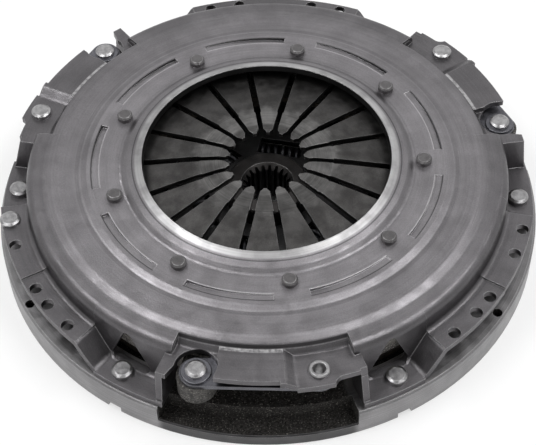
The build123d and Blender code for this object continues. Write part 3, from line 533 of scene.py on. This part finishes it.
class CLUTCH_OT_disc(bpy.types.Operator):
    """Friction disc with its hub and linings, and the wear ring"""
    bl_idname = "clutch.disc"
    bl_label = "Disc and wear ring"

    def execute(self, context):
        steel = context.scene.clutch_steel
        iron = context.scene.clutch_iron
        dress(plain_metal("disc_steel", steel.disc, 0.4, 0.6), "rear_side_plate", "front_side_plate",
              "cushion_segments", "segment_rivets", "stop_pins", "adjusting_ring")
        dress(plain_metal("hub_steel", steel.hub, 0.35, 0.5, edge_wear_and_highlight_share=0.6, painted_bore_shade=True), "hub")
        dress(lining("friction_lining", iron.lining), "rear_facing", "front_facing")
        dress(lining("washer_lining", iron.washer), "rear_friction_washer", "front_friction_washer")
        dress(plain_metal("lining_brass", iron.brass, 0.4, 0.55), "facing_rivets")
        return {"FINISHED"}


# ---- coil springs ----------------------------------------------------------------------------
def flatten_into_place(piece):
    """Write the piece's place and turn into its mesh."""
    bpy.ops.object.select_all(action="DESELECT")
    piece.select_set(True)
    bpy.context.view_layer.objects.active = piece
    bpy.ops.object.transform_apply(location=True, rotation=True, scale=True)


def wire_path(wire, free_length, turns):
    """Height of each ring of the wire: half a turn lies closed at each end, and the rest is spread evenly."""
    rings = TURN_STEPS * turns
    open_shares = []
    for ring in range(rings):
        from_end = min(ring / TURN_STEPS, turns - ring / TURN_STEPS)
        open_shares.append(min(1.0, max(0.0, 2 * from_end - 1)))
    spare = (free_length - wire - wire * turns) / sum(open_shares)
    path = [-(free_length - wire) / 2]
    for share in open_shares:
        path.append(path[-1] + wire / TURN_STEPS + spare * share)
    return path


def coil(name, radius, wire, free_length, turns):
    """A closed-end coil spring along Y, centred on the origin."""
    bpy.ops.object.select_all(action="DESELECT")
    bpy.ops.mesh.primitive_circle_add(vertices=WIRE_SIDES, radius=wire / 2,
                                      location=(radius - wire / 2, 0, 0))
    spring = bpy.context.object
    spring.name = name
    flatten_into_place(spring)
    screw = spring.modifiers.new("turns", "SCREW")
    screw.axis = "Y"
    screw.angle = 2 * pi
    screw.iterations = turns
    screw.steps = screw.render_steps = TURN_STEPS
    screw.screw_offset = wire
    bpy.ops.object.modifier_apply(modifier="turns")
    path = wire_path(wire, free_length, turns)
    if len(spring.data.vertices) != WIRE_SIDES * len(path):
        raise RuntimeError(f"{name}: the coil has {len(spring.data.vertices)} vertices")
    for index, vertex in enumerate(spring.data.vertices):
        ring = index // WIRE_SIDES
        vertex.co.y += path[ring] - wire * ring / TURN_STEPS
    bpy.ops.object.mode_set(mode="EDIT")
    bpy.ops.mesh.select_all(action="SELECT")
    bpy.ops.mesh.fill_holes(sides=0)
    bpy.ops.mesh.normals_make_consistent(inside=False)
    bpy.ops.object.mode_set(mode="OBJECT")
    bpy.ops.object.shade_smooth_by_angle(angle=SMOOTH_ANGLE)
    return spring


def set_round(master, circle, height, angles, node, body):
    """Copies of the coil at these angles."""
    for place_number, angle in enumerate(angles, 1):
        turn = radians(angle)
        middle = (circle * cos(turn), circle * sin(turn), height)
        spring = master.copy()
        spring.data = master.data.copy()
        spring.name = f"{master.name}_{place_number}"
        bpy.context.collection.objects.link(spring)
        spring.location = middle
        spring.rotation_euler.z = turn
        flatten_into_place(spring)
        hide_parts(node)
        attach(spring, body)
        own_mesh(spring)
    bpy.data.objects.remove(master)


class CLUTCH_OT_damper_springs(bpy.types.Operator):
    """Six coil springs that drive the hub from the side plates"""
    bl_idname = "clutch.damper_springs"
    bl_label = "Damper springs"

    def execute(self, context):
        size = context.scene.clutch_coils
        wire = plain_metal("damper_wire", context.scene.clutch_steel.wire, 0.35, 0.5)
        master = coil("damper_spring", size.damper_radius, size.damper_wire, size.damper_length,
                      size.damper_turns)
        master.data.materials.append(wire)
        set_round(master, size.damper_circle, size.damper_height, DAMPER_ANGLES, "damper_springs",
                  "friction_disc")
        return {"FINISHED"}


class CLUTCH_OT_adjuster_springs(bpy.types.Operator):
    """Three coil springs that turn the wear ring"""
    bl_idname = "clutch.adjuster_springs"
    bl_label = "Adjuster springs"

    def execute(self, context):
        size = context.scene.clutch_coils
        wire = plain_metal("adjuster_wire", context.scene.clutch_steel.wire, 0.35, 0.5)
        master = coil("adjuster_spring", size.adjuster_radius, size.adjuster_wire, size.adjuster_length,
                      size.adjuster_turns)
        master.data.materials.append(wire)
        set_round(master, size.adjuster_circle, size.adjuster_height, SECTORS, "adjuster_springs",
                  "housing")
        return {"FINISHED"}


# ---- stage -----------------------------------------------------------------------------------
class CLUTCH_OT_stage(bpy.types.Operator):
    """Floor, surround, lights and camera"""
    bl_idname = "clutch.stage"
    bl_label = "Stage"

    def execute(self, context):
        settings = context.scene.clutch_stage
        self.lay_floor(settings.floor)
        world = bpy.data.worlds.new("studio")
        context.scene.world = world
        world.use_nodes = True
        self.surround(world.node_tree, settings.sky)
        for side in (-1, 1):
            self.light("key", KEY_LIGHT, settings.key_power, side)
        self.light("back", BACK_LIGHT, settings.back_power)
        self.light("front", FRONT_LIGHT, settings.front_power)
        bpy.ops.object.camera_add(location=CAMERA_PLACE, rotation=[radians(turn) for turn in CAMERA_TURN])
        camera = context.object
        camera.data.sensor_width = SENSOR_WIDTH
        camera.data.lens = settings.lens
        context.scene.camera = camera
        context.scene.view_settings.view_transform = "Standard"
        return {"FINISHED"}

    def lay_floor(self, tone):
        bpy.ops.object.select_all(action="DESELECT")
        bpy.ops.mesh.primitive_plane_add(size=FLOOR_SIZE, location=FLOOR_PLACE)
        floor = bpy.context.object
        floor.name = "floor"
        material = bpy.data.materials.new("floor")
        material.use_nodes = True
        shader = material.node_tree.nodes["Principled BSDF"]
        shader.inputs["Base Color"].default_value = (*tone, 1)
        shader.inputs["Roughness"].default_value = FLOOR_ROUGHNESS
        self.whiten(material.node_tree, shader)
        floor.data.materials.append(material)

    def whiten(self, tree, shader):
        """Make most of what the camera and shiny faces see of the open floor plain white."""
        path = add_node(tree, "ShaderNodeLightPath").outputs
        seen = maths(tree, "MAXIMUM", path["Is Camera Ray"], path["Is Glossy Ray"])
        seen = maths(tree, "MAXIMUM", seen, path["Is Transmission Ray"])
        place = add_node(tree, "ShaderNodeTexCoord").outputs["Object"]
        reach = add_node(tree, "ShaderNodeVectorMath", {0: place}, operation="LENGTH").outputs["Value"]
        clear = add_node(tree, "ShaderNodeMapRange",
                         {"Value": reach, "From Min": UNDER_UNIT_R[0], "From Max": UNDER_UNIT_R[1],
                          "To Min": 0.0, "To Max": FLOOR_GLOW}).outputs[0]
        glow = add_node(tree, "ShaderNodeEmission").outputs[0]
        mixed = add_node(tree, "ShaderNodeMixShader",
                         {0: maths(tree, "MULTIPLY", seen, clear), 1: shader.outputs[0], 2: glow})
        tree.links.new(mixed.outputs[0], tree.nodes["Material Output"].inputs["Surface"])

    def surround(self, tree, level):
        """White all round to the camera; to everything else a soft white, brightest low down and behind."""
        ray = add_node(tree, "ShaderNodeTexCoord").outputs["Generated"]
        _, back, up = add_node(tree, "ShaderNodeSeparateXYZ", {0: ray}).outputs
        fall = add_node(tree, "ShaderNodeMapRange",
                        {"Value": up, "From Min": SKY_FALL[0], "From Max": SKY_FALL[1], "To Min": level,
                         "To Max": level * SKY_OVERHEAD}, interpolation_type="SMOOTHSTEP").outputs[0]
        soft = maths(tree, "MULTIPLY", fall, maths(tree, "MULTIPLY_ADD", back, SKY_BEHIND, SKY_MIDDLE))
        to_camera = add_node(tree, "ShaderNodeLightPath").outputs["Is Camera Ray"]
        lamp = tree.nodes["Background"]
        lamp.inputs["Color"].default_value = (1, 1, 1, 1)
        tree.links.new(maths(tree, "MAXIMUM", soft, to_camera), lamp.inputs["Strength"])

    def light(self, name, spot, power, side=1):
        """A rectangular light at this spot, or at its mirror image where side is -1."""
        (across, along, up), (tilt, roll, turn), size = spot
        bpy.ops.object.light_add(type="AREA", location=(across * side, along, up),
                                 rotation=(radians(tilt), radians(roll) * side, radians(turn)))
        lamp = bpy.context.object
        lamp.name = name
        lamp.data.shape = "RECTANGLE"
        lamp.data.size, lamp.data.size_y = size
        lamp.data.energy = power


# ---- add-on ----------------------------------------------------------------------------------
STEPS = (CLUTCH_OT_cover, CLUTCH_OT_fasteners, CLUTCH_OT_flat_springs, CLUTCH_OT_castings, CLUTCH_OT_disc,
         CLUTCH_OT_damper_springs, CLUTCH_OT_adjuster_springs, CLUTCH_OT_stage)
GROUPS = {"clutch_steel": ClutchSteel, "clutch_iron": ClutchIron, "clutch_coils": ClutchCoils,
          "clutch_stage": ClutchStage}


class CLUTCH_PT_panel(bpy.types.Panel):
    """Pieces of the clutch unit"""
    bl_idname = "CLUTCH_PT_panel"
    bl_label = "Clutch unit"
    bl_space_type = "VIEW_3D"
    bl_region_type = "UI"
    bl_category = "Clutch"

    def draw(self, context):
        for step in STEPS:
            self.layout.operator(step.bl_idname)


def register():
    for item in (*GROUPS.values(), *STEPS, CLUTCH_PT_panel):
        bpy.utils.register_class(item)
    for name, group in GROUPS.items():
        setattr(bpy.types.Scene, name, PointerProperty(type=group))


def unregister():
    for name in GROUPS:
        delattr(bpy.types.Scene, name)
    for item in (CLUTCH_PT_panel, *STEPS, *GROUPS.values()):
        bpy.utils.unregister_class(item)


def main():
    register()
    bpy.ops.object.select_all(action="DESELECT")
    for step in STEPS:
        area, verb = step.bl_idname.split(".")
        getattr(getattr(bpy.ops, area), verb)()


if __name__ == "__main__":
    main()
